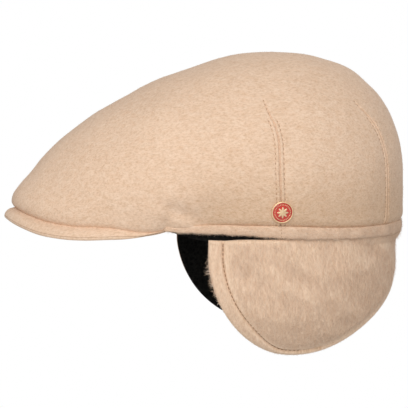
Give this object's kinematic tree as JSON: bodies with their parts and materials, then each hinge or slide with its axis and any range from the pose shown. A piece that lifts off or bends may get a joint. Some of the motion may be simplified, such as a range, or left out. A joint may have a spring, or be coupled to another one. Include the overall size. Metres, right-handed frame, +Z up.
{
  "type": "flat cap with fold-down ear flaps",
  "caption": "Soft wool flat cap with a stiff peak and fleece-lined ear flaps that hang from the rim round the back of the head.",
  "frame": {"origin": "middle of the head opening, level with the rim at the back of the head", "axes": "+Z up, -Y the way the wearer looks, towards the peak, +X the wearer's left, where the badge is"},
  "size_m": [0.1899, 0.2849, 0.2091],
  "materials": {
    "wool_cloth": "brushed woollen cloth with a short nap",
    "flap_cloth": "woollen cloth with a longer combed nap",
    "black_fleece": "deep black fleece",
    "gilt_metal": "polished",
    "red_enamel": "gloss enamel"
  },
  "bodies": {
    "root": {"crown": "wool_cloth", "hem_band": "wool_cloth", "peak_top": "wool_cloth", "peak_under": "wool_cloth", "sweatband": "black_fleece", "ear_flap": "flap_cloth", "flap_lining": "black_fleece", "badge_body": "gilt_metal", "badge_enamel": "red_enamel", "badge_rosette": "gilt_metal"}
  },
  "joints": []
}
